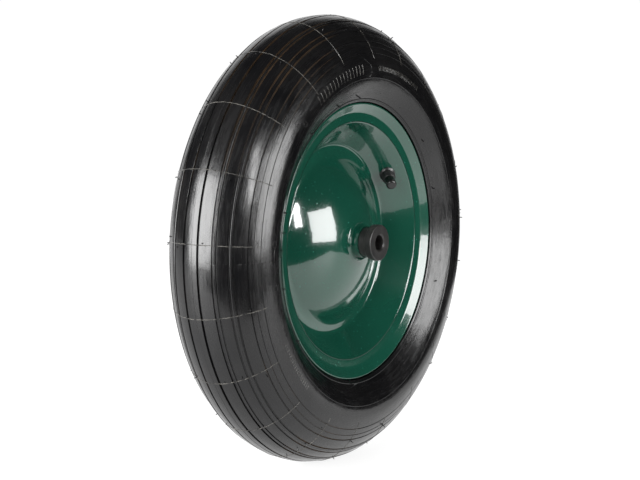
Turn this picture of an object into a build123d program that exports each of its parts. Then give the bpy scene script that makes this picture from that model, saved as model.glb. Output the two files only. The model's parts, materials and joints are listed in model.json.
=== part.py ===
from build123d import *
import math
import os

# Pneumatic wheelbarrow wheel: a pressed two-half steel rim on a hub tube, two flanged bushes,
# a ribbed tyre with an inner tube, and a tyre valve with its core and cap.
# The axle lies along Y, the face with the valve looks towards -Y, +Z is up, and the origin is
# the wheel's centre. Sections are drawn on the XY plane with x as the radius and y as the
# distance out from the mid-plane, then turned about Y. All sizes are in millimetres.

os.makedirs("parts", exist_ok=True)

# Overall sizes
tyre_radius = 190.0
crown_width = 96.0
hub_length = 100.0
axle_bore_radius = 6.5

# Rim halves
sheet = 2.0
rim_seat_radius = 100.4
rim_inner_width = 52.4
well_depth = 19.1
weld_ring_width = 5.3
flange_foot_rise = 7.9
flange_foot_spread = 0.8
lip_rise = 15.5
lip_spread = 6.1
valley_fillet = 12.0
well_fillet = 5.0
seat_fillet = 3.0
lip_fillet = 7.0
neck_fillet = 2.5
neck_step = 2.7
lip_edge_round = 0.8

# Hub tube and bushes
hub_tube_radius = 13.45
hub_tube_wall = 2.65
hub_tube_proud = 4.6
bush_flange_radius = 15.2
bush_flange = 6.5
bush_neck_radius = 12.4
bush_neck = 7.3
bush_edge_round = 0.8
bore_chamfer = 1.0

# Tyre and its bead wires. The crown is part of an ellipse, and the wall turns in before its end.
crown_foot_rise = 12.5
crown_turn = 69.6
wall_top_pull = 13.0
wall_foot_pull = 14.0
wall_foot_slope = 0.6
tread_thickness = 6.5
sidewall_thickness = 4.2
bead_lip_gap = 1.6
bead_shoulder_gap = 0.4
bead_base_drop = 1.4
bead_width = 12.6
bead_height = 7.2
bead_lean = 1.1
bead_pull = 13.0
bead_spread = 3.4
lining_pull = 14.0
bead_wire_radius = 1.9
bead_wire_rise = 5.0
bead_wire_depth = 6.6
rib_groove_depth = 1.1
rib_groove_half_width = 0.7
rib_groove_offsets = [6.4, 18.0, 28.0]

# Inner tube
tube_wall = 1.6
tube_well_gap = 2.0
tube_tip_half_width = 2.0
tube_air_hole_radius = 1.7

# Valve: lengths run along its own axis, out from the visible face of the rim wall
valve_angle = 35.7
valve_rise = 8.7
rim_hole_radius = 5.75
stem_radius = 5.5
stem_length = 10.5
stem_flare_radius = 7.0
stem_flare = 2.2
stem_ridge_radius = 6.0
stem_ridge_half_width = 0.7
stem_ridge_places = [4.6, 7.4]
stem_foot_radius = 9.5
stem_foot_depth = 12.0
insert_length = 18.5
insert_thread_radius = 3.85
insert_thread_foot = 9.0
insert_body_radius = 2.8
chamber_radius = 2.3
chamber_depth = 8.7
air_way_radius = 1.95
cap_radius = 4.7
cap_foot_gap = 0.3
cap_crown = 1.1
cap_crown_round = 2.2
cap_seal_thickness = 0.6
cap_seal_gap = 0.1

# Valve core: depths run down from the insert's mouth
core_plug_top = 0.9
core_plug = 3.2
core_hole_radius = 1.2
plug_slot_width = 1.0
plug_slot_depth = 1.2
barrel_radius = 1.7
barrel = 6.7
barrel_floor = 0.7
barrel_floor_hole = 0.8
gasket = 1.8
pin_radius = 0.6
pin_top = 0.2
pin_collar_top = 1.6
pin_collar_radius = 1.05
pin_collar = 0.35
cup_radius = 1.45
cup = 1.6
cup_floor = 0.6
spring_mean_radius = 0.9
spring_wire_radius = 0.13
spring_pitch = 0.8

# Fits
seat_gap = 0.2
journal_gap = 0.07
end_float = 0.3
thread_gap = 0.05
small_gap = 0.05

# Worked out from the sizes above
hub_half = hub_length / 2
hub_tube_half = hub_half - bush_flange - bush_neck
neck_radius = hub_tube_radius + small_gap + sheet
neck_end = hub_tube_half - hub_tube_proud
seat_offset = rim_inner_width / 2
foot_offset = seat_offset + flange_foot_spread
lip_offset = seat_offset + lip_spread
lip_radius = rim_seat_radius + lip_rise
well_radius = rim_seat_radius - well_depth
weld_ring_radius = well_radius - weld_ring_width
crown_foot_radius = lip_radius + crown_foot_rise
crown_height = tyre_radius - crown_foot_radius
bead_base = rim_seat_radius + seat_gap
bead_toe = seat_offset - bead_width
valve_ring_radius = well_radius + valve_rise


def unit(v):
    return v * (1 / v.length)


def arc(centre, start, end):
    """The shorter arc about centre from start to end."""
    middle = centre + unit((start - centre) + (end - centre)) * (start - centre).length
    return ThreePointArc(start, middle, end)


def parallel(points, distance):
    """A polyline moved sideways, to the right of its direction, with its corners kept sharp."""
    ways = [unit(b - a) for a, b in zip(points, points[1:])]
    sides = [Vector(w.Y, -w.X) for w in ways]
    moved = [points[0] + sides[0] * distance]
    for p, a, b in zip(points[1:], sides, sides[1:]):
        moved.append(p + (a + b) * (distance / (1 + a.dot(b))))
    moved.append(points[-1] + sides[-1] * distance)
    return moved


def turned(section):
    """A section turned a full turn about the axle."""
    return revolve(section, Axis.Y, 360)


def dome():
    """Radius and centre height of the ball that the disc follows from the hub's neck to the valley."""
    top = neck_end - neck_step
    rise = sheet + valley_fillet
    slope = valley_fillet / (top - rise)
    base = neck_radius**2 + top**2 + valley_fillet**2 - weld_ring_radius**2 - rise**2
    base = base / (2 * (top - rise))
    linear = 2 * slope * (top - base)
    fixed = neck_radius**2 + (top - base) ** 2
    radius = 2 * fixed / (linear + math.sqrt(linear**2 + 4 * (1 - slope**2) * fixed))
    return radius, base + slope * radius


# Corners of the rim half's visible face, from the weld ring out to the lip
rim_corners = [
    Vector(weld_ring_radius, sheet),
    Vector(well_radius, sheet),
    Vector(rim_seat_radius, seat_offset),
    Vector(rim_seat_radius + flange_foot_rise, foot_offset),
    Vector(lip_radius, lip_offset),
]


def rim_line(depth):
    """The rim half's line at a depth under its visible face: neck, dome, valley, wall, flange, lip."""
    radius, height = dome()
    ball = Vector(0, height)
    neck_rise = math.sqrt((radius + neck_fillet) ** 2 - (neck_radius + neck_fillet) ** 2)
    neck_centre = Vector(neck_radius + neck_fillet, height + neck_rise)
    valley_centre = Vector(weld_ring_radius, sheet + valley_fillet)
    neck_foot = Vector(neck_radius - depth, neck_centre.Y)
    dome_top = ball + unit(neck_centre - ball) * (radius - depth)
    dome_foot = ball + unit(valley_centre - ball) * (radius - depth)
    valley_end = Vector(weld_ring_radius, sheet - depth)
    rounds = [well_fillet + depth, seat_fillet - depth, lip_fillet + depth]
    return [
        Line(Vector(neck_radius - depth, neck_end), neck_foot),
        arc(neck_centre, neck_foot, dome_top),
        arc(ball, dome_top, dome_foot),
        arc(valley_centre, dome_foot, valley_end),
        FilletPolyline(*parallel(rim_corners, depth), radius=rounds),
    ]


def rim_half():
    """One pressed half of the rim, at the +Y side."""
    face_line = rim_line(0)
    back_line = rim_line(sheet)
    neck_cap = Line(face_line[0] @ 0, back_line[0] @ 0)
    lip_cap = Line(face_line[-1] @ 1, back_line[-1] @ 1)
    section = make_face(Curve() + face_line + back_line + [neck_cap, lip_cap])
    corners = section.vertices().sort_by(Axis.X)[-2:]
    return turned(fillet(corners, lip_edge_round))


def under_rim(gap):
    """Section of everything on the visible side of the rim's tyre face, grown by gap."""
    line = parallel(rim_corners, sheet + gap)
    far = Vector(line[-1].X, hub_half)
    return Polygon(Vector(0, line[0].Y), *line, far, Vector(0, hub_half), align=None)


def both_sides(section):
    """A section and its mirror image across the mid-plane, joined."""
    return section + mirror(section, Plane.XZ)


def inside_line(inset):
    """The tyre's inner line from the bead's top up the wall to the crown, moved in by inset."""
    half = crown_width / 2 - sidewall_thickness - inset
    rise = crown_height - tread_thickness - inset
    bead_top = Vector(bead_base + bead_height, bead_toe + bead_lean - inset)
    low_handle = bead_top + Vector(bead_pull + inset, bead_spread)
    ceiling = EllipticalCenterArc((crown_foot_radius, 0), rise, half, arc_size=crown_turn)
    wall_top = ceiling @ 1
    side = Bezier(bead_top, low_handle, wall_top + (ceiling % 1) * lining_pull, wall_top)
    return [side, ceiling]


def tyre_half_section():
    """Half of the tyre's section, with its bead still reaching into the rim."""
    bead_radius = lip_radius + bead_lip_gap
    crown = EllipticalCenterArc(
        (crown_foot_radius, 0), crown_height, crown_width / 2, arc_size=crown_turn
    )
    wall_top = crown @ 1
    wall_foot = Vector(bead_radius, lip_offset + bead_shoulder_gap)
    foot_way = unit(Vector(1, wall_foot_slope))
    wall = Bezier(
        wall_top,
        wall_top + (crown % 1) * wall_top_pull,
        wall_foot + foot_way * wall_foot_pull,
        wall_foot,
    )
    side, ceiling = inside_line(0)
    heel = Polyline(
        wall_foot,
        Vector(bead_radius, seat_offset),
        Vector(bead_base, seat_offset),
        Vector(bead_base - bead_base_drop, bead_toe),
        side @ 0,
    )
    return make_face(Curve() + [crown, wall, heel, side, ceiling, Line(ceiling @ 0, crown @ 0)])


def rib_grooves():
    """Sections of the grooves that part one side of the tread into ribs."""
    half = crown_width / 2
    groove = Rectangle(2 * rib_groove_depth, 2 * rib_groove_half_width)
    heights = [crown_height * math.sqrt(1 - (y / half) ** 2) for y in rib_groove_offsets]
    return [Pos(crown_foot_radius + x, y) * groove for x, y in zip(heights, rib_groove_offsets)]


def bead_wire_section(radius):
    """The round section of the bead wire at the +Y side."""
    return Pos(bead_base + bead_wire_rise, seat_offset - bead_wire_depth) * Circle(radius)


def tyre():
    """The tyre, with its ribs, its beads and the seats of its bead wires."""
    section = tyre_half_section() - under_rim(seat_gap) - rib_grooves()
    section = section - bead_wire_section(bead_wire_radius + small_gap)
    return turned(both_sides(section))


def tube_half_section(inset):
    """Half of the inner tube's section, filling the tyre and the rim's well, shrunk by inset."""
    gap = seat_gap + inset
    side, crown = inside_line(gap)
    bead_corner = Vector(bead_base - bead_base_drop - gap, bead_toe - gap)
    well = parallel(rim_corners[1:3], sheet + tube_well_gap + inset)
    wall_way = unit(well[1] - well[0])
    wall_top = well[0] + wall_way * ((bead_corner.X - bead_height / 2 - well[0].X) / wall_way.X)
    tip = well[0] + wall_way * ((tube_tip_half_width - well[0].Y) / wall_way.Y)
    low = Polyline(side @ 0, bead_corner, wall_top, tip, Vector(tip.X, 0), crown @ 0)
    return make_face(Curve() + [crown, side, low])


def inner_tube():
    """The closed ring of the inner tube, with the hole where the valve's air goes in."""
    skin = turned(both_sides(tube_half_section(0)) - both_sides(tube_half_section(tube_wall)))
    return skin - along_valve(0, -stem_foot_depth, tube_air_hole_radius)


def hub_tube():
    """The steel tube that both rim halves and both bushes fit on."""
    ring = Circle(hub_tube_radius) - Circle(hub_tube_radius - hub_tube_wall)
    return extrude(Plane.XZ * ring, hub_tube_half, both=True)


def bush():
    """One flanged bush, at the +Y side. The two journals meet at the mid-plane."""
    journal = hub_tube_radius - hub_tube_wall - journal_gap
    shoulder = hub_tube_half + end_float
    collar = hub_half - bush_flange
    section = Polyline(
        (axle_bore_radius, 0),
        (journal, 0),
        (journal, shoulder),
        (bush_neck_radius, shoulder),
        (bush_neck_radius, collar),
        (bush_flange_radius, collar),
        (bush_flange_radius, hub_half),
        (axle_bore_radius, hub_half),
        (axle_bore_radius, 0),
    )
    face = make_face(section)
    flange_corners = face.vertices().group_by(Axis.X)[-1]
    face = fillet(flange_corners, bush_edge_round)
    mouth_corner = face.vertices().sort_by_distance((axle_bore_radius, hub_half))[0]
    return turned(chamfer(mouth_corner, bore_chamfer))


# The valve's own plane: its origin is on the visible face of the front rim wall, at valve_angle
# round the wheel, and its Z leaves the wall squarely, towards the hub and the front.
wall_run = unit(rim_corners[2] - rim_corners[1])
wall_height = sheet + (valve_ring_radius - well_radius) * wall_run.Y / wall_run.X
valve_turn = math.radians(valve_angle)
valve_out = Vector(math.cos(valve_turn), 0, math.sin(valve_turn))
valve_foot = valve_out * valve_ring_radius + Vector(0, -wall_height, 0)
valve_way = valve_out * -wall_run.Y + Vector(0, -wall_run.X, 0)
valve_plane = Plane(origin=valve_foot, x_dir=(-valve_out.Z, 0, valve_out.X), z_dir=valve_way)
mouth = insert_length


def along_valve(start, end, radius, hole=0.0):
    """A round piece on the valve's axis from start to end, with a hole through it."""
    section = Pos(radius / 2, (start + end) / 2) * Rectangle(radius, abs(end - start))
    if hole:
        section = section - Pos(hole / 2, (start + end) / 2) * Rectangle(hole, abs(end - start))
    return valve_plane * Rot(90, 0, 0) * turned(section)


def valve_ring(points):
    """A closed outline, as radius and height along the valve, turned about the valve's axis."""
    return valve_plane * Rot(90, 0, 0) * turned(make_face(Polyline(*points, close=True)))


def wall_skin(start, end):
    """The front rim wall's outline between two depths under its visible face."""
    lines = parallel(rim_corners[1:3], start) + parallel(rim_corners[1:3], end)[::-1]
    return mirror(turned(make_face(Polyline(*lines, close=True))), Plane.XZ)


def stem_ridge(place):
    """A sharp ridge round the stem, rooted inside it."""
    root = stem_radius - stem_ridge_half_width
    return valve_ring(
        [
            (root, place - 2 * stem_ridge_half_width),
            (stem_radius, place - stem_ridge_half_width),
            (stem_ridge_radius, place),
            (stem_radius, place + stem_ridge_half_width),
            (root, place + 2 * stem_ridge_half_width),
        ]
    )


def valve_stem():
    """The rubber stem: a foot against the rim wall inside, a flare outside, and two ridges."""
    foot = wall_skin(sheet + seat_gap, sheet + tube_well_gap - seat_gap)
    foot = foot & along_valve(0, -stem_foot_depth, stem_foot_radius)
    stem = along_valve(-sheet - tube_well_gap / 2, stem_length, stem_radius)
    top_edge = stem.edges().sort_by_distance(valve_foot + valve_way * stem_length)[0]
    stem = fillet(top_edge, bush_edge_round)
    flare = valve_ring(
        [
            (0, seat_gap),
            (stem_flare_radius, seat_gap),
            (stem_flare_radius, stem_flare / 2),
            (stem_radius, stem_flare),
            (0, stem_flare),
        ]
    )
    for place in stem_ridge_places:
        stem = stem + stem_ridge(place)
    bore = along_valve(-stem_foot_depth, insert_thread_foot, insert_body_radius)
    mouth_bore = along_valve(insert_thread_foot, mouth, insert_thread_radius)
    return stem + flare + foot - bore - mouth_bore


def valve_insert():
    """The brass insert that carries the cap's thread outside and the core inside."""
    foot = -sheet - tube_well_gap / 2
    body = along_valve(foot, insert_thread_foot, insert_body_radius)
    thread = along_valve(insert_thread_foot, mouth, insert_thread_radius)
    chamber = along_valve(mouth - chamber_depth, mouth, chamber_radius)
    return body + thread - chamber - along_valve(foot, mouth, air_way_radius)


def slotted_plug():
    """The core's plug, with the slot that a valve key turns it by."""
    top = mouth - core_plug_top
    plug = along_valve(top - core_plug, top, chamber_radius - small_gap, core_hole_radius)
    slot = Box(plug_slot_width, 2 * chamber_radius, plug_slot_depth)
    return plug - valve_plane * Pos(0, 0, top - plug_slot_depth / 2) * slot


barrel_top = mouth - core_plug_top - core_plug
barrel_end = barrel_top - barrel


def core_barrel():
    """The core's barrel, with a floor that the spring stands on and the pin runs through."""
    tube = along_valve(barrel_end, barrel_top, barrel_radius, core_hole_radius)
    return tube + along_valve(barrel_end, barrel_end + barrel_floor, barrel_radius, barrel_floor_hole)


def core_gasket():
    """The sealing ring round the barrel, on the step at the chamber's foot."""
    step = mouth - chamber_depth
    return along_valve(step, step + gasket, chamber_radius - small_gap, barrel_radius + small_gap)


def core_pin():
    """The pin that opens the valve, with the collar that the spring pushes on."""
    collar_top = mouth - pin_collar_top
    foot = barrel_end - small_gap - cup
    pin = along_valve(foot, mouth - pin_top, pin_radius)
    return pin + along_valve(collar_top - pin_collar, collar_top, pin_collar_radius)


def plunger_cup():
    """The washer at the pin's foot that carries the seal."""
    foot = barrel_end - small_gap - cup
    return along_valve(foot, foot + cup_floor, cup_radius, pin_radius)


def plunger_seal():
    """The rubber ring that closes against the barrel's end."""
    top = barrel_end - small_gap
    return along_valve(top - cup + cup_floor, top, cup_radius, pin_radius)


def core_spring():
    """The spring round the pin, from the barrel's floor up to the pin's collar."""
    low = barrel_end + barrel_floor + spring_wire_radius + small_gap
    high = mouth - pin_collar_top - pin_collar - spring_wire_radius - small_gap
    path = Helix(spring_pitch, high - low, spring_mean_radius)
    wire = Plane(origin=path @ 0, z_dir=path % 0) * Circle(spring_wire_radius)
    return valve_plane * Pos(0, 0, low) * sweep(wire, path, is_frenet=True)


cap_foot = stem_length + cap_foot_gap
cap_seal_foot = mouth + cap_seal_gap
cap_roof = cap_seal_foot + cap_seal_thickness
cap_top = cap_roof + cap_crown


def valve_cap():
    """The screwed dust cap, with a rounded crown."""
    shell = along_valve(cap_foot, cap_top, cap_radius)
    crown_edge = shell.edges().sort_by_distance(valve_foot + valve_way * cap_top)[0]
    shell = fillet(crown_edge, cap_crown_round)
    return shell - along_valve(cap_foot, cap_roof, insert_thread_radius + thread_gap)


def cap_seal():
    """The washer under the cap's roof."""
    return along_valve(cap_seal_foot, cap_roof, insert_thread_radius - small_gap)


back_half = rim_half()
front_half = mirror(back_half, Plane.XZ) - along_valve(-2 * sheet, 2 * sheet, rim_hole_radius)
back_bush = bush()
back_wire = turned(bead_wire_section(bead_wire_radius))

pieces = {
    "tyre": tyre(),
    "bead_wire_front": mirror(back_wire, Plane.XZ),
    "bead_wire_back": back_wire,
    "inner_tube": inner_tube(),
    "rim_half_front": front_half,
    "rim_half_back": back_half,
    "hub_tube": hub_tube(),
    "bush_front": mirror(back_bush, Plane.XZ),
    "bush_back": back_bush,
    "valve_stem": valve_stem(),
    "valve_insert": valve_insert(),
    "core_plug": slotted_plug(),
    "core_barrel": core_barrel(),
    "core_gasket": core_gasket(),
    "core_pin": core_pin(),
    "plunger_cup": plunger_cup(),
    "plunger_seal": plunger_seal(),
    "core_spring": core_spring(),
    "valve_cap": valve_cap(),
    "cap_seal": cap_seal(),
}

for name, piece in pieces.items():
    export_step(piece, f"parts/{name}.step")
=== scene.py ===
import json
import math
import random

import bmesh
import bpy
import numpy as np
from mathutils import Matrix, Vector


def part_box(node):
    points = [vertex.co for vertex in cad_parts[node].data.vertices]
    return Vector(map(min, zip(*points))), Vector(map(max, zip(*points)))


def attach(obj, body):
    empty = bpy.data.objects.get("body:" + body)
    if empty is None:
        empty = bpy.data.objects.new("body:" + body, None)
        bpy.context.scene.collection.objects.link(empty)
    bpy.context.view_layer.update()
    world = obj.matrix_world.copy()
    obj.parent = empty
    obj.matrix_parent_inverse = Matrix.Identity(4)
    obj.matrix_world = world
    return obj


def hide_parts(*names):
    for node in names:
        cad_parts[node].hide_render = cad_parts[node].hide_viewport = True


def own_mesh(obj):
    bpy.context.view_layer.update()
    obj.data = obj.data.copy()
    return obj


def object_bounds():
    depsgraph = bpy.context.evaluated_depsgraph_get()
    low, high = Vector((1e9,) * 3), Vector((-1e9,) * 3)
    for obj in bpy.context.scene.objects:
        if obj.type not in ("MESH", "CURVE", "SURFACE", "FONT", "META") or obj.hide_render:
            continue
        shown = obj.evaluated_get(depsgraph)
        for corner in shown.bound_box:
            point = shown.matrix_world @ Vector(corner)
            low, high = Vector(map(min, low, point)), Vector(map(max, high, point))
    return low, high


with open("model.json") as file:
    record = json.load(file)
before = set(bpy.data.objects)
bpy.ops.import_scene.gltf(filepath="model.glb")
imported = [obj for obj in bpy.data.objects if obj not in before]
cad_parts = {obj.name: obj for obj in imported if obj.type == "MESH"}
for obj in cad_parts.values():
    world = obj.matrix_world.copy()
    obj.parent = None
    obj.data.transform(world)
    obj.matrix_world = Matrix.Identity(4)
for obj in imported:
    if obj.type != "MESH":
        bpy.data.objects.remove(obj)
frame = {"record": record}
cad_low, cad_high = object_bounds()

# Looks of the pneumatic wheelbarrow wheel. Metres, in the CAD frame: the axle along Y, the face
# with the valve towards -Y, +Z up. On a turned outline a point is (radius, out), where out is the
# distance from the mid-plane towards the front face.

MM = 0.001
scene = bpy.context.scene
random.seed(41)

# Sizes read off the CAD nodes: the tyre's outer radius, and how far out the rim's neck ends
tyre_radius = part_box("tyre")[1].x
neck_end = -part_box("rim_half_front")[0].y

# Tyre outline. The face is an ellipse about (crown_foot, 0) as far as crown_turn, and a cubic
# curve from there to wall_foot. It lies inside the CAD tyre's face by the relief.
relief = 0.25 * MM
crown_foot = 128.4 * MM
crown_half = 48 * MM
crown_turn = math.radians(69.6)
bead_radius = 117.5 * MM
wall_foot = Vector((bead_radius, 32.7 * MM))
wall_foot_way = Vector((1, 0.6)).normalized()
wall_top_pull = 13 * MM
wall_foot_pull = 14 * MM
bead_seat = 26.2 * MM
bead_base = 100.6 * MM
bead_toe = Vector((99.2 * MM, 13.6 * MM))
bead_top = Vector((107.8 * MM, 14.7 * MM))
bead_pull = Vector((13 * MM, 3.4 * MM))
lining_pull = 14 * MM
tread_thickness = 6.5 * MM
wall_thickness = 4.2 * MM
tread_middle = 1.45 * MM
groove_step = 1.4 * MM
full_groove = 1.2 * MM
turn_steps = 540

# Rings in the tyre's face: distance out from the tread's middle, half width, depth (mm).
# A negative depth is a raised ring.
tread_rings = [
    (6.35, 0.8, 2.0),
    (16.9, 0.65, 1.5),
    (18.3, 0.5, -0.25),
    (19.6, 0.5, 0.9),
    (26.3, 0.5, 0.9),
    (27.8, 0.5, -0.25),
    (29.4, 0.55, 1.0),
    (35.85, 0.45, 0.9),
    (38.3, 0.3, 0.4),
    (40.8, 0.35, 0.5),
]
# Rings on the lower sidewall: radius, half width, depth (mm)
wall_rings = [(137.4, 0.5, -0.1), (119.6, 0.7, -0.3)]
mould_line = (1.25, 0.22, -0.16)

# Marks that the mould's vents and plates leave
flash_count = 21
flash_first = math.radians(175.7)
flash_height = 0.33 * MM
flash_end_radius = 151 * MM
whisker_angles = [164.2, 171.3, 177.6, 191.7, 132.6, 110.0, 95.8, 214, 262, 305, 338, 18, 41]
nub_angles = [81.1, 64.0, 23, 347, 251]
plate_ring_radius = 144.5 * MM
plate_ring_angles = [(175.0, 188.2), (314, 327)]
spew_places = [-41, -35, -29.5, -24, -18, -12, 4, 12, 20, 25, 31, 36, 40]
fine_line = 0.24 * MM

# Rim section, as in the CAD source (mm)
sheet = 2.0
rim_corners = [(76.0, 2.0), (81.3, 2.0), (100.4, 26.2), (108.3, 27.0), (115.9, 32.3)]
rim_rounds = [5.0, 3.0, 7.0]
neck_radius = 15.5
neck_step = 2.7
neck_round = 2.5
valley_round = 12.0
lip_round = 0.8

# The valve hole, square to the rim wall that rises from rim_corners[1]
valve_angle = math.radians(35.7)
valve_radius = 90.0
valve_hole_radius = 5.75


# ---------------------------------------------------------------- outlines


def quarter(centre, across, out, start, end, steps):
    """Points on an ellipse about centre, from angle start to end; 0 lies along the radius."""
    angles = [start + (end - start) * i / steps for i in range(steps + 1)]
    return [(centre[0] + across * math.cos(t), centre[1] + out * math.sin(t)) for t in angles]


def cubic(points, steps):
    """Points along a cubic curve given by its two ends and two handles."""
    found = []
    for i in range(steps + 1):
        t = i / steps
        weights = [(1 - t) ** 3, 3 * t * (1 - t) ** 2, 3 * t * t * (1 - t), t**3]
        point = sum((p * w for p, w in zip(points, weights)), Vector((0, 0)))
        found.append(tuple(point))
    return found


def wall_way(across, out):
    """The way on down the wall where an ellipse with these half sizes stops."""
    return Vector((-across * math.sin(crown_turn), out * math.cos(crown_turn))).normalized()


def face_table():
    """Half of the tyre's face, crown to bead: radius, out and distance along it, as dense arrays."""
    crown = tyre_radius - relief - crown_foot
    half = crown_half - relief
    upper = quarter((crown_foot, 0), crown, half, 0, crown_turn, 600)
    top = Vector(upper[-1])
    lower = cubic(
        [
            top,
            top + wall_way(crown, half) * wall_top_pull,
            wall_foot + wall_foot_way * wall_foot_pull,
            wall_foot,
        ],
        300,
    )
    points = np.array(upper + lower[1:])
    steps = np.hypot(*np.diff(points, axis=0).T)
    return points[:, 0], points[:, 1], np.concatenate([[0], np.cumsum(steps)]), len(upper)


face_r, face_out, face_s, crown_count = face_table()


def at_out(out):
    """Signed distance along the face where the crown stands this far out."""
    s = np.interp(abs(out), face_out[:crown_count], face_s[:crown_count])
    return math.copysign(float(s), out)


def at_radius(r):
    """Distance along the front face where it has this radius."""
    return float(np.interp(-r, -face_r, face_s))


def face_point(s):
    """(radius, out) on the tyre's face, and the way square to it."""
    t = abs(s)
    step = 0.05 * MM
    a = np.array([np.interp(t - step, face_s, face_r), np.interp(t - step, face_s, face_out)])
    b = np.array([np.interp(t + step, face_s, face_r), np.interp(t + step, face_s, face_out)])
    along = (b - a) / max(np.linalg.norm(b - a), 1e-9)
    side = 1 if s >= 0 else -1
    point = (float(np.interp(t, face_s, face_r)), side * float(np.interp(t, face_s, face_out)))
    return point, (float(along[1]), -side * float(along[0]))


def turn(r, out, angle):
    return Vector((r * math.cos(angle), -out, r * math.sin(angle)))


def on_tyre(s, angle, lift=0.0):
    """A point on the tyre's face, raised by lift."""
    (r, out), (nr, nout) = face_point(s)
    return turn(r + nr * lift, out + nout * lift, angle)


def square_to_tyre(s, angle):
    """The way out of the tyre's face."""
    nr, nout = face_point(s)[1]
    return turn(nr, nout, angle).normalized()


def rings():
    """Every ring as distance along the face, half width and depth, in metres."""
    found = [(at_out(tread_middle + mould_line[0] * MM), mould_line[1] * MM, mould_line[2] * MM)]
    for out, half, depth in tread_rings:
        for side in (1, -1):
            found.append((at_out(tread_middle + side * out * MM), half * MM, depth * MM))
    for r, half, depth in wall_rings:
        s = at_radius(r * MM)
        found += [(s, half * MM, depth * MM), (-s, half * MM, depth * MM)]
    return found


def ring_shape(x):
    """A groove's share of its full depth at x half widths from its middle."""
    return min(1.0, max(0.0, (1.25 - abs(x)) / 0.55)) ** 1.5


def tyre_outline():
    """Closed outline of the tyre, with each point's share of groove for the paint."""
    all_rings = rings()
    end = float(face_s[-1])
    places = set(round(s, 7) for s in np.arange(-end, end, groove_step))
    near = [-1.4, -1.25, -1.1, -0.9, -0.7, -0.35, 0, 0.35, 0.7, 0.9, 1.1, 1.25, 1.4]
    for s, half, depth in all_rings:
        places = {p for p in places if abs(p - s) > 1.6 * half}
        places |= {round(s + k * half, 7) for k in near}
    places = sorted(p for p in places if -end < p < end)
    outline, groove = [], []
    for s in [-end] + places + [end]:
        depth = sum(d * ring_shape((s - c) / h) for c, h, d in all_rings if abs(s - c) < 1.5 * h)
        (r, out), (nr, nout) = face_point(s)
        outline.append((r - nr * depth, out - nout * depth))
        groove.append(max(0.0, depth / full_groove))
    inside = inner_half()
    bead = [(bead_radius, bead_seat), (bead_base, bead_seat), tuple(bead_toe)]
    closing = bead + inside + [(r, -out) for r, out in reversed(bead + inside)]
    return outline + closing, groove + [0.0] * len(closing)


def inner_half():
    """The tyre's inner line at the front, from the bead up to the crown."""
    half = crown_half - wall_thickness
    roof = tyre_radius - crown_foot - tread_thickness
    ceiling = quarter((crown_foot, 0), roof, half, crown_turn, 0, 30)
    top = Vector(ceiling[0])
    side = cubic([bead_top, bead_top + bead_pull, top + wall_way(roof, half) * lining_pull, top], 20)
    return side[:-1] + ceiling[:-1]


def parallel(points, distance):
    """A polyline moved sideways, to the right of its direction, corners kept sharp."""
    points = [Vector(p) for p in points]
    ways = [(b - a).normalized() for a, b in zip(points, points[1:])]
    sides = [Vector((w.y, -w.x)) for w in ways]
    moved = [points[0] + sides[0] * distance]
    for p, a, b in zip(points[1:], sides, sides[1:]):
        moved.append(p + (a + b) * (distance / (1 + a.dot(b))))
    return moved + [points[-1] + sides[-1] * distance]


def rounded(points, rounds, step):
    """A polyline with round corners, sampled about every step along its straights."""
    points = [Vector(p) for p in points]
    line = [points[0]]
    for a, p, b, r in zip(points, points[1:], points[2:], rounds):
        back, on = (a - p).normalized(), (b - p).normalized()
        half = math.acos(max(-1, min(1, back.dot(on)))) / 2
        centre = p + (back + on).normalized() * (r / math.sin(half))
        start, end = p + back * (r / math.tan(half)), p + on * (r / math.tan(half))
        line += straight(line[-1], start, step) + bend(centre, start, end, 14)
    return line + straight(line[-1], points[-1], step)


def straight(a, b, step):
    count = max(1, round((b - a).length / step))
    return [a.lerp(b, i / count) for i in range(1, count + 1)]


def bend(centre, start, end, steps):
    """Points after start on the shorter arc about centre, up to end."""
    a, b = start - centre, end - centre
    whole = math.atan2(a.x * b.y - a.y * b.x, a.dot(b))
    found = []
    for i in range(1, steps + 1):
        t = whole * i / steps
        turned = Vector((a.x * math.cos(t) - a.y * math.sin(t), a.x * math.sin(t) + a.y * math.cos(t)))
        found.append(centre + turned)
    return found


def rim_line(depth):
    """The rim half's line at a depth under its visible face, from the neck to the lip (mm)."""
    end = neck_end / MM
    weld_radius, weld_out = rim_corners[0]
    top, rise = end - neck_step, weld_out + valley_round
    slope = valley_round / (top - rise)
    base = neck_radius**2 + top**2 + valley_round**2 - weld_radius**2 - rise**2
    base = base / (2 * (top - rise))
    linear = 2 * slope * (top - base)
    fixed = neck_radius**2 + (top - base) ** 2
    radius = 2 * fixed / (linear + math.sqrt(linear**2 + 4 * (1 - slope**2) * fixed))
    ball = Vector((0, base + slope * radius))
    lift = math.sqrt((radius + neck_round) ** 2 - (neck_radius + neck_round) ** 2)
    neck = Vector((neck_radius + neck_round, ball.y + lift))
    valley = Vector((weld_radius, rise))
    line = [Vector((neck_radius - depth, end)), Vector((neck_radius - depth, neck.y))]
    dome_top = ball + (neck - ball).normalized() * (radius - depth)
    dome_foot = ball + (valley - ball).normalized() * (radius - depth)
    line += bend(neck, line[-1], dome_top, 12)
    line += bend(ball, dome_top, dome_foot, 70)
    line += bend(valley, dome_foot, Vector((weld_radius, weld_out - depth)), 20)
    rounds = [rim_rounds[0] + depth, rim_rounds[1] - depth, rim_rounds[2] + depth]
    return line + rounded(parallel(rim_corners, depth), rounds, 1.5)[1:]


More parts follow.
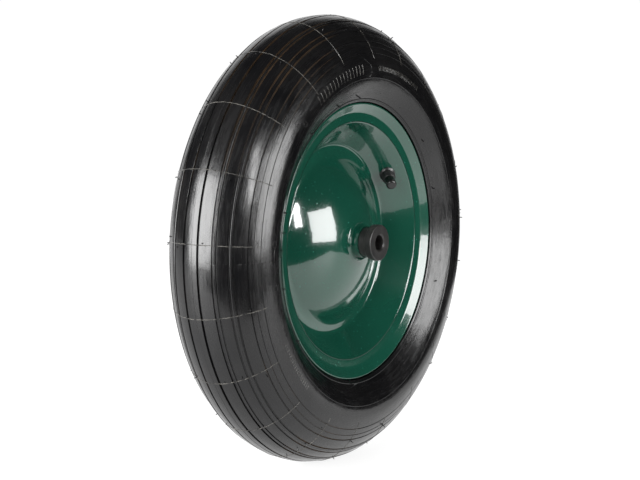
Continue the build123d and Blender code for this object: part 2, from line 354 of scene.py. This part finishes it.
def rim_outline():
    """Closed outline of one rim half, with its lip's edge rounded (mm)."""
    face, back = rim_line(0), rim_line(sheet)
    way = (face[-1] - face[-2]).normalized()
    across = (back[-1] - face[-1]).normalized()
    outer = face[-1] + (across - way) * lip_round
    inner = back[-1] - (across + way) * lip_round
    edge = bend(outer, outer - across * lip_round, outer + way * lip_round, 5)
    edge.append(inner + way * lip_round)
    edge += bend(inner, inner + way * lip_round, inner + across * lip_round, 5)
    face[-1] = outer - across * lip_round
    return [tuple(p * MM) for p in face + edge + back[-2::-1]]


# ---------------------------------------------------------------- meshes


def new_object(name, verts, faces):
    mesh = bpy.data.meshes.new(name)
    mesh.from_pydata([tuple(v) for v in verts], [], faces)
    mesh.update()
    made = bpy.data.objects.new(name, mesh)
    scene.collection.objects.link(made)
    return made


def smooth(obj, angle=35):
    """Smooth shading, with edges sharper than angle degrees kept."""
    bm = bmesh.new()
    bm.from_mesh(obj.data)
    bmesh.ops.recalc_face_normals(bm, faces=bm.faces)
    limit = math.radians(angle)
    for face in bm.faces:
        face.smooth = True
    for edge in bm.edges:
        edge.smooth = len(edge.link_faces) < 2 or edge.calc_face_angle(0) < limit
    bm.to_mesh(obj.data)
    bm.free()
    return obj


def lathe(name, outline, steps, front=1):
    """A closed outline turned a full turn about the axle; front -1 mirrors it to the back."""
    count = len(outline)
    verts = []
    for i in range(steps):
        angle = 2 * math.pi * i / steps
        verts += [turn(r, front * out, angle) for r, out in outline]
    faces = []
    for i in range(steps):
        here, there = i * count, (i + 1) % steps * count
        faces += [
            (here + k, there + k, there + (k + 1) % count, here + (k + 1) % count)
            for k in range(count)
        ]
    return new_object(name, verts, faces)


def cord_mesh(paths, sides=6):
    """Vertices and faces of round cords: each path is its points, its radii and whether it closes."""
    verts, faces = [], []
    for points, radii, closed in paths:
        count = len(points)
        first = len(verts)
        for i, p in enumerate(points):
            a = points[(i - 1) % count] if closed or i else p
            b = points[(i + 1) % count] if closed or i + 1 < count else p
            way = (b - a).normalized()
            side = way.cross(Vector((0.31, 0.17, 0.94))).normalized()
            up = side.cross(way)
            for k in range(sides):
                t = 2 * math.pi * k / sides
                verts.append(p + (side * math.cos(t) + up * math.sin(t)) * radii[i])
        for i in range(count if closed else count - 1):
            here, there = first + i * sides, first + (i + 1) % count * sides
            faces += [
                (here + k, here + (k + 1) % sides, there + (k + 1) % sides, there + k)
                for k in range(sides)
            ]
        if not closed:
            faces.append(tuple(first + k for k in reversed(range(sides))))
            faces.append(tuple(first + (count - 1) * sides + k for k in range(sides)))
    return verts, faces


def on_wheel(obj, slot, *nodes):
    """obj is a piece that turns with the wheel, in place of these CAD nodes."""
    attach(obj, "wheel")
    if nodes:
        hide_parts(*nodes)
    return obj


# ---------------------------------------------------------------- materials


def node(tree, kind, **values):
    made = tree.nodes.new(kind)
    for key, value in values.items():
        if hasattr(made, key):
            setattr(made, key, value)
        else:
            made.inputs[key.replace("_", " ")].default_value = value
    return made


def noise(tree, where, scale, detail=4.0, roughness=0.55):
    made = node(tree, "ShaderNodeTexNoise", Scale=scale, Detail=detail, Roughness=roughness)
    tree.links.new(where, made.inputs["Vector"])
    return made.outputs["Fac"]


def ramp(tree, value, low, high, start=0.0, end=1.0):
    """value between low and high spread over start to end, clamped."""
    made = node(tree, "ShaderNodeMapRange")
    for key, number in zip(("From Min", "From Max", "To Min", "To Max"), (low, high, start, end)):
        made.inputs[key].default_value = number
    tree.links.new(value, made.inputs["Value"])
    return made.outputs["Result"]


def mix_colour(tree, factor, a, b):
    made = node(tree, "ShaderNodeMix", data_type="RGBA")
    tree.links.new(factor, made.inputs["Factor"])
    for socket, value in ((made.inputs["A"], a), (made.inputs["B"], b)):
        if isinstance(value, tuple):
            socket.default_value = (*value, 1)
        else:
            tree.links.new(value, socket)
    return made.outputs["Result"]


def calc(tree, operation, a, b):
    made = node(tree, "ShaderNodeMath", operation=operation)
    for socket, value in zip(made.inputs, (a, b)):
        if isinstance(value, (int, float)):
            socket.default_value = value
        else:
            tree.links.new(value, socket)
    return made.outputs["Value"]


def bump(tree, height, distance, strength=1.0, under=None):
    made = node(tree, "ShaderNodeBump", Distance=distance, Strength=strength)
    tree.links.new(height, made.inputs["Height"])
    if under:
        tree.links.new(under, made.inputs["Normal"])
    return made.outputs["Normal"]


def new_material(name, **values):
    """A material, its node tree, its shader node and its object coordinates."""
    material = bpy.data.materials.new(name)
    material.use_nodes = True
    tree = material.node_tree
    shader = tree.nodes["Principled BSDF"]
    for key, value in values.items():
        shader.inputs[key.replace("_", " ")].default_value = value
    where = node(tree, "ShaderNodeTexCoord").outputs["Object"]
    return material, tree, shader, where


def wheel_way(tree, where, around):
    """Coordinates that run round the wheel: stretched streaks follow the turning direction."""
    parts = node(tree, "ShaderNodeSeparateXYZ")
    tree.links.new(where, parts.inputs["Vector"])
    angle = calc(tree, "ARCTAN2", parts.outputs["Z"], parts.outputs["X"])
    square = calc(tree, "MULTIPLY", parts.outputs["X"], parts.outputs["X"])
    square = calc(tree, "ADD", square, calc(tree, "MULTIPLY", parts.outputs["Z"], parts.outputs["Z"]))
    radius = calc(tree, "SQRT", square, 0.0)
    joined = node(tree, "ShaderNodeCombineXYZ")
    tree.links.new(calc(tree, "MULTIPLY", angle, around), joined.inputs["X"])
    tree.links.new(parts.outputs["Y"], joined.inputs["Y"])
    tree.links.new(radius, joined.inputs["Z"])
    return joined.outputs["Vector"], radius


def tyre_rubber():
    """Moulded tyre rubber: glossy with release film, duller and browner in the grooves."""
    material, tree, shader, where = new_material(
        "tyre_rubber", Specular_IOR_Level=0.3, Coat_Weight=0.25, Coat_Roughness=0.11
    )
    link = tree.links.new
    streaks, radius = wheel_way(tree, where, 0.02)
    film = noise(tree, where, 22, 5, 0.6)
    drawn = noise(tree, streaks, 420, 5, 0.6)
    fine = noise(tree, where, 900, 3, 0.6)
    groove = node(tree, "ShaderNodeAttribute", attribute_name="groove").outputs["Fac"]
    patches = ramp(tree, noise(tree, where, 9, 3, 0.6), 0.46, 0.66)
    wax = calc(tree, "MULTIPLY", patches, ramp(tree, groove, 0.05, 0.45))
    shade = ramp(tree, film, 0.35, 0.7)
    black = mix_colour(tree, shade, (0.0022, 0.0022, 0.0025), (0.0048, 0.0046, 0.0047))
    brown = mix_colour(tree, wax, black, (0.055, 0.034, 0.018))
    # Raised marks painted lighter grey: on the flash fins this grey is a painted sheen.
    wear_and_sheen = node(tree, "ShaderNodeAttribute", attribute_name="wear_and_sheen").outputs["Fac"]
    wear_and_sheen = calc(tree, "MULTIPLY", wear_and_sheen, ramp(tree, noise(tree, where, 260, 3, 0.6), 0.35, 0.6))
    link(mix_colour(tree, wear_and_sheen, brown, (0.10, 0.095, 0.085)), shader.inputs["Base Color"])
    streaked = ramp(tree, drawn, 0.38, 0.68, 0.0, 0.16)
    dull = calc(tree, "ADD", ramp(tree, film, 0.3, 0.72, 0.14, 0.24), streaked)
    link(calc(tree, "ADD", dull, ramp(tree, groove, 0.1, 0.8, 0.0, 0.25)), shader.inputs["Roughness"])
    soft = bump(tree, noise(tree, where, 60, 3, 0.5), 0.00035, 0.6)
    soft = bump(tree, drawn, 0.00016, 0.7, soft)
    soft = bump(tree, fine, 0.00003, 0.6, soft)
    link(soft, shader.inputs["Normal"])
    link(soft, shader.inputs["Coat Normal"])
    return material


def rim_paint():
    """Glossy deep green enamel over pressed steel, with orange peel, dust nibs and faint scuffs."""
    material, tree, shader, where = new_material(
        "rim_paint", Coat_Weight=1.0, Coat_Roughness=0.02, Specular_IOR_Level=0.4
    )
    link = tree.links.new
    cloud = noise(tree, where, 14, 4, 0.55)
    peel = noise(tree, where, 210, 2, 0.4)
    wave = noise(tree, where, 26, 2, 0.4)
    nibs = ramp(tree, noise(tree, where, 620, 2, 0.5), 0.72, 0.78)
    scuffs = ramp(tree, noise(tree, where, 75, 6, 0.7), 0.62, 0.74)
    shade = ramp(tree, cloud, 0.3, 0.7)
    green = mix_colour(tree, shade, (0.0034, 0.042, 0.026), (0.0046, 0.050, 0.031))
    link(mix_colour(tree, nibs, green, (0.05, 0.25, 0.20)), shader.inputs["Base Color"])
    wear_and_sheen = ramp(tree, scuffs, 0.0, 1.0, 0.0, 0.05)
    rough = ramp(tree, cloud, 0.3, 0.7, 0.13, 0.19)
    link(calc(tree, "ADD", rough, wear_and_sheen), shader.inputs["Roughness"])
    skin = bump(tree, wave, 0.0004, 0.6)
    skin = bump(tree, peel, 0.00008, 0.6, skin)
    skin = bump(tree, nibs, 0.00006, 0.5, skin)
    link(skin, shader.inputs["Normal"])
    link(skin, shader.inputs["Coat Normal"])
    return material


def moulded(name, dark, light, gloss, grain, depth):
    """A moulded plastic or rubber: clouded colour and gloss, and a fine grain."""
    material, tree, shader, where = new_material(name)
    link = tree.links.new
    cloud = noise(tree, where, 90, 5, 0.6)
    marks = ramp(tree, noise(tree, where, 260, 6, 0.7), 0.6, 0.75)
    link(mix_colour(tree, ramp(tree, cloud, 0.3, 0.7), dark, light), shader.inputs["Base Color"])
    rough = calc(tree, "ADD", ramp(tree, cloud, 0.3, 0.7, *gloss), ramp(tree, marks, 0, 1, 0, 0.1))
    link(rough, shader.inputs["Roughness"])
    link(bump(tree, noise(tree, where, grain, 4, 0.6), depth, 0.7), shader.inputs["Normal"])
    return material


def machined(name, dark, light, gloss, lines):
    """A turned or drawn metal: fine lines, slight tarnish."""
    material, tree, shader, where = new_material(name, Metallic=1.0)
    link = tree.links.new
    cloud = noise(tree, where, 160, 5, 0.6)
    grain = noise(tree, where, lines, 6, 0.7)
    link(mix_colour(tree, ramp(tree, cloud, 0.35, 0.7), dark, light), shader.inputs["Base Color"])
    link(ramp(tree, grain, 0.3, 0.7, *gloss), shader.inputs["Roughness"])
    link(bump(tree, grain, 0.00003, 0.6), shader.inputs["Normal"])
    return material


# Darkest colour, lightest colour, range of roughness, scale of the grain, and the grain's depth
plastics = {
    "tube_rubber": ((0.02, 0.02, 0.02), (0.06, 0.058, 0.055), (0.5, 0.7), 300, 0.0001),
    "bush_nylon": ((0.010, 0.010, 0.010), (0.020, 0.019, 0.018), (0.30, 0.42), 700, 0.00006),
    "valve_rubber": ((0.008, 0.008, 0.008), (0.016, 0.016, 0.016), (0.28, 0.42), 900, 0.00005),
    "cap_plastic": ((0.006, 0.006, 0.006), (0.010, 0.010, 0.010), (0.14, 0.22), 500, 0.00003),
    "gasket_ptfe": ((0.55, 0.05, 0.03), (0.65, 0.08, 0.05), (0.35, 0.5), 900, 0.00003),
}
metals = {
    "valve_brass": ((0.55, 0.36, 0.13), (0.80, 0.58, 0.26), (0.18, 0.4), 1400),
    "bead_steel": ((0.36, 0.26, 0.17), (0.52, 0.40, 0.28), (0.3, 0.5), 1200),
    "spring_steel": ((0.50, 0.50, 0.50), (0.72, 0.72, 0.72), (0.2, 0.4), 2000),
}
paints = {"tyre_rubber": tyre_rubber(), "rim_paint": rim_paint()}
paints |= {name: moulded(name, *looks) for name, looks in plastics.items()}
paints |= {name: machined(name, *looks) for name, looks in metals.items()}


def paint(obj, slot):
    obj.data.materials.clear()
    obj.data.materials.append(paints[slot])


# ---------------------------------------------------------------- tyre


def build_tyre():
    outline, groove = tyre_outline()
    tyre = lathe("tyre_body", outline, turn_steps)
    shares = tyre.data.attributes.new("groove", "FLOAT", "POINT")
    shares.data.foreach_set("value", groove * turn_steps)
    smooth(tyre, 50)
    paint(tyre, "tyre_rubber")
    return on_wheel(tyre, "tyre_rubber", "tyre")


def flash_lines():
    """Thin fins that the mould's joints leave across the tread and down to the sidewall."""
    paths = []
    end = at_radius(flash_end_radius)
    for k in range(flash_count):
        angle = flash_first + 2 * math.pi * k / flash_count
        low = -end * random.uniform(0.88, 1.0)
        high = end * random.uniform(0.88, 1.03)
        points, radii = [], []
        for i in range(71):
            s = low + (high - low) * i / 70
            wobble = random.uniform(-0.0006, 0.0006) / 0.19
            points.append(on_tyre(s, angle + wobble * 0.35, -0.05 * MM))
            radii.append(flash_height * random.uniform(0.75, 1.15))
        radii[0] = radii[-1] = 0.05 * MM
        paths.append((points, radii, False))
    return paths


def spew(s, angle, length, lean, thick=0.42 * MM):
    """A hair of rubber from a vent hole, leaning sideways."""
    (r, out), (nr, nout) = face_point(s)
    up = square_to_tyre(s, angle)
    around = Vector((-math.sin(angle), 0, math.cos(angle)))
    room = (tyre_radius - relief - r) / nr if nr > 0.05 else length
    length = min(length, max(room, 0.3 * MM))
    foot = on_tyre(s, angle, -0.3 * MM)
    points = []
    for i in range(5):
        t = i / 4
        points.append(foot + up * (0.3 * MM + length * t * (1 - 0.25 * t)) + around * lean * t * t)
    return points, [thick, 0.96 * thick, 0.9 * thick, 0.8 * thick, 0.5 * thick], False


def spews():
    paths = []
    for k in range(flash_count):
        angle = flash_first + 2 * math.pi * k / flash_count
        for out in spew_places:
            if random.random() < 0.5:
                where = angle + random.uniform(-0.035, 0.035)
                s = at_out(out * MM + random.uniform(-1.2, 1.2) * MM)
                length = random.uniform(1.0, 3.0) * MM
                paths.append(spew(s, where, length, random.uniform(-1, 1) * MM))
    for side in (1, -1):
        for degrees in whisker_angles:
            s = side * at_radius(random.uniform(121, 127) * MM)
            length = random.uniform(2.6, 4.4) * MM
            paths.append(spew(s, math.radians(degrees), length, random.uniform(-1, 1) * MM, 0.62 * MM))
        for degrees in nub_angles:
            s = side * at_radius(random.uniform(123, 130) * MM)
            paths.append(spew(s, math.radians(degrees), 0.7 * MM, 0))
    return paths


def ring_arc(radius, start, end, thick, side=1):
    """A raised line round the sidewall, from one angle to the other in degrees."""
    count = max(4, round(abs(end - start) / 1.2))
    s = side * at_radius(radius)
    angles = [math.radians(start + (end - start) * i / count) for i in range(count + 1)]
    return [on_tyre(s, angle, -0.1 * MM) for angle in angles], [thick] * (count + 1), False


def loop(radius, angle, size, thick, side=1):
    """A small raised ring on the sidewall."""
    points = []
    for i in range(20):
        t = 2 * math.pi * i / 20
        r = radius + size * math.cos(t)
        points.append(on_tyre(side * at_radius(r), angle + size * math.sin(t) / radius, -0.05 * MM))
    return points, [thick] * 20, True


def plate_marks():
    """Outlines of the mould's insert plates: rings joined by a line, and one long bent line."""
    paths = []
    for side in (1, -1):
        for start, end in plate_ring_angles:
            for degrees in (start, end):
                paths.append(loop(plate_ring_radius, math.radians(degrees), 2.4 * MM, 0.28 * MM, side))
            gap = 1.6
            paths.append(ring_arc(plate_ring_radius, start + gap, end - gap, fine_line, side))
        paths.append(ring_arc(133.5 * MM, 96, 138, fine_line, side))
        paths.append(loop(plate_ring_radius, math.radians(135.5), 2.0 * MM, 0.26 * MM, side))
        bent = []
        for i in range(13):
            t = i / 12
            r = (133.5 + 20 * t) * MM
            degrees = 96 - 3.5 * math.sin(math.pi * t)
            bent.append(on_tyre(side * at_radius(r), math.radians(degrees), -0.05 * MM))
        paths.append((bent, [fine_line] * 13, False))
    return paths


def tick_band(start, end, count, low, high, thick, side):
    """A band of plain radial ribs on the sidewall."""
    paths = []
    for i in range(count):
        angle = math.radians(start + (end - start) * i / (count - 1))
        points = [on_tyre(side * at_radius(low + (high - low) * k / 3), angle, 0) for k in range(4)]
        paths.append((points, [thick] * 4, False))
    return paths


def sidewall_ticks():
    paths = []
    for side in (1, -1):
        paths += tick_band(98, 125, 15, 141 * MM, 149 * MM, 0.42 * MM, side)
        paths += tick_band(62, 88, 30, 143 * MM, 147 * MM, 0.26 * MM, side)
        paths += tick_band(207, 226, 18, 143 * MM, 147 * MM, 0.26 * MM, side)
    return paths


def tyre_mark(name, paths, sides=6, wear_and_sheen=0.0):
    """Thin raised marks on the tyre, in one piece; the last argument is how far they are painted
    lighter grey, which on the flash fins is a painted sheen.
    """
    made = new_object(name, *cord_mesh(paths, sides))
    share = made.data.attributes.new("wear_and_sheen", "FLOAT", "POINT")
    share.data.foreach_set("value", [wear_and_sheen] * len(made.data.vertices))
    smooth(made, 60)
    paint(made, "tyre_rubber")
    return on_wheel(made, "tyre_rubber")


# ---------------------------------------------------------------- rim


def build_rims():
    outline = rim_outline()
    for name, front in (("front", 1), ("back", -1)):
        half = lathe(f"rim_{name}", outline, turn_steps, front)
        if front == 1:
            cut_valve_hole(half)
        smooth(half, 40)
        paint(half, "rim_paint")
        on_wheel(half, "rim_paint", f"rim_half_{name}")


def cut_valve_hole(half):
    """The round hole in the front rim wall that the valve stem fills."""
    wall_start, wall_end = Vector(rim_corners[1]), Vector(rim_corners[2])
    run = wall_end - wall_start
    across = valve_radius - wall_start.x
    foot = turn(valve_radius * MM, (wall_start.y + across * run.y / run.x) * MM, valve_angle)
    way = turn(-run.y, run.x, valve_angle).normalized()
    size = valve_hole_radius * MM
    bm = bmesh.new()
    bmesh.ops.create_cone(bm, cap_ends=True, segments=48, radius1=size, radius2=size, depth=10 * MM)
    mesh = bpy.data.meshes.new("hole")
    bm.to_mesh(mesh)
    bm.free()
    cutter = bpy.data.objects.new("hole", mesh)
    scene.collection.objects.link(cutter)
    cutter.matrix_world = Matrix.Translation(foot) @ way.to_track_quat("Z", "Y").to_matrix().to_4x4()
    cut = half.modifiers.new("hole", "BOOLEAN")
    cut.operation = "DIFFERENCE"
    cut.object = cutter
    bpy.context.view_layer.update()
    done = bpy.data.meshes.new_from_object(half.evaluated_get(bpy.context.evaluated_depsgraph_get()))
    half.modifiers.clear()
    half.data = done
    bpy.data.objects.remove(cutter)


# ---------------------------------------------------------------- pieces


build_tyre()
# The flash fins are painted 0.8 of the way to grey, a painted sheen.
tyre_mark("tread_flash", flash_lines(), 4, 0.8)
tyre_mark("tyre_spews", spews())
tyre_mark("plate_marks", plate_marks())
tyre_mark("sidewall_ticks", sidewall_ticks(), 6, 0.5)
build_rims()

def build_spring():
    """The core's spring: a copy of the CAD spring's mesh, in its place on the wheel."""
    bpy.context.view_layer.update()
    cad_spring = bpy.data.objects["core_spring"]
    mesh = cad_spring.data.copy()
    mesh.transform(cad_spring.matrix_world)
    coil = bpy.data.objects.new("valve_spring", mesh)
    scene.collection.objects.link(coil)
    paint(coil, "spring_steel")
    on_wheel(coil, "spring_steel", "core_spring")
    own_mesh(coil)


build_spring()

record_slots = {part["node"]: part["material_slot"] for part in frame["record"]["subparts"]}
for name, slot in record_slots.items():
    paint(bpy.data.objects[name], slot)

# ---------------------------------------------------------------- studio


def direction(azimuth, elevation):
    """A way out from the wheel: azimuth from -Y towards +X, in degrees."""
    a, e = math.radians(azimuth), math.radians(elevation)
    return Vector((math.sin(a) * math.cos(e), -math.cos(a) * math.cos(e), math.sin(e)))


def softbox(name, azimuth, elevation, distance, across, tall, strength):
    """An area light that looks at the wheel."""
    light = bpy.data.lights.new(name, "AREA")
    light.shape = "RECTANGLE"
    light.size, light.size_y = across, tall
    light.energy = strength
    made = bpy.data.objects.new(name, light)
    made.location = direction(azimuth, elevation) * distance
    made.rotation_euler = (-made.location).to_track_quat("-Z", "Y").to_euler()
    scene.collection.objects.link(made)


softbox("key_front", 7.5, 10, 1.25, 0.62, 0.62, 14)
softbox("side_left", -98, 12, 1.35, 1.25, 0.95, 66)
softbox("glint_left", -19, 22, 1.30, 0.17, 0.50, 6)

floor_level = cad_low.z
floor_corners = [(-5, 3), (-1.6, 0.5), (-0.30, -0.33), (-0.19, -0.40), (0.0, -0.66), (0.21, -0.86)]
floor_corners += [(0.50, -0.62), (0.80, -0.10), (3.0, 3.6), (2.0, 8.0), (-5.0, 8.0)]
floor = new_object(
    "floor", [(x, y, floor_level) for x, y in floor_corners], [tuple(range(len(floor_corners)))]
)
floor_paint, floor_tree, floor_shader, floor_where = new_material("floor_white", Roughness=0.5)
cloud = noise(floor_tree, floor_where, 6)
floor_shade = mix_colour(floor_tree, cloud, (0.16, 0.16, 0.16), (0.20, 0.20, 0.20))
floor_tree.links.new(floor_shade, floor_shader.inputs["Base Color"])
# The floor glows with painted light of its own: weaker near the wheel and up to full white further
# out, so it fades into the backdrop.
floor_shader.inputs["Emission Color"].default_value = (1, 1, 1, 1)
span = node(floor_tree, "ShaderNodeVectorMath", operation="LENGTH")
floor_tree.links.new(floor_where, span.inputs[0])
glow = ramp(floor_tree, span.outputs["Value"], 0.2, 0.9, 0.84, 1.02)
floor_tree.links.new(glow, floor_shader.inputs["Emission Strength"])
floor.data.materials.append(floor_paint)

world = bpy.data.worlds.new("studio")
scene.world = world
world.use_nodes = True
sky = world.node_tree
backdrop = sky.nodes["Background"]
backdrop.inputs["Color"].default_value = (1, 1, 1, 1)
seen = node(sky, "ShaderNodeLightPath").outputs["Is Camera Ray"]
look = node(sky, "ShaderNodeVectorMath", operation="DOT_PRODUCT")
look.inputs[1].default_value = direction(135, 8)
sky.links.new(node(sky, "ShaderNodeTexCoord").outputs["Generated"], look.inputs[0])
behind = ramp(sky, look.outputs["Value"], 0.80, 0.92, 0.02, 1.0)
shown = calc(sky, "MAXIMUM", behind, calc(sky, "MULTIPLY", seen, 1.02))
sky.links.new(shown, backdrop.inputs["Strength"])
scene.view_settings.view_transform = "Standard"

# ---------------------------------------------------------------- camera

lens = bpy.data.cameras.new("camera")
lens.lens = 73.74
lens.sensor_width = 36
lens.shift_x = -0.0156
lens.shift_y = -0.0014
camera = bpy.data.objects.new("camera", lens)
camera.location = direction(-56.60, 6.58) * 1.124
camera.rotation_euler = camera.location.to_track_quat("Z", "Y").to_euler()
scene.collection.objects.link(camera)
scene.camera = camera
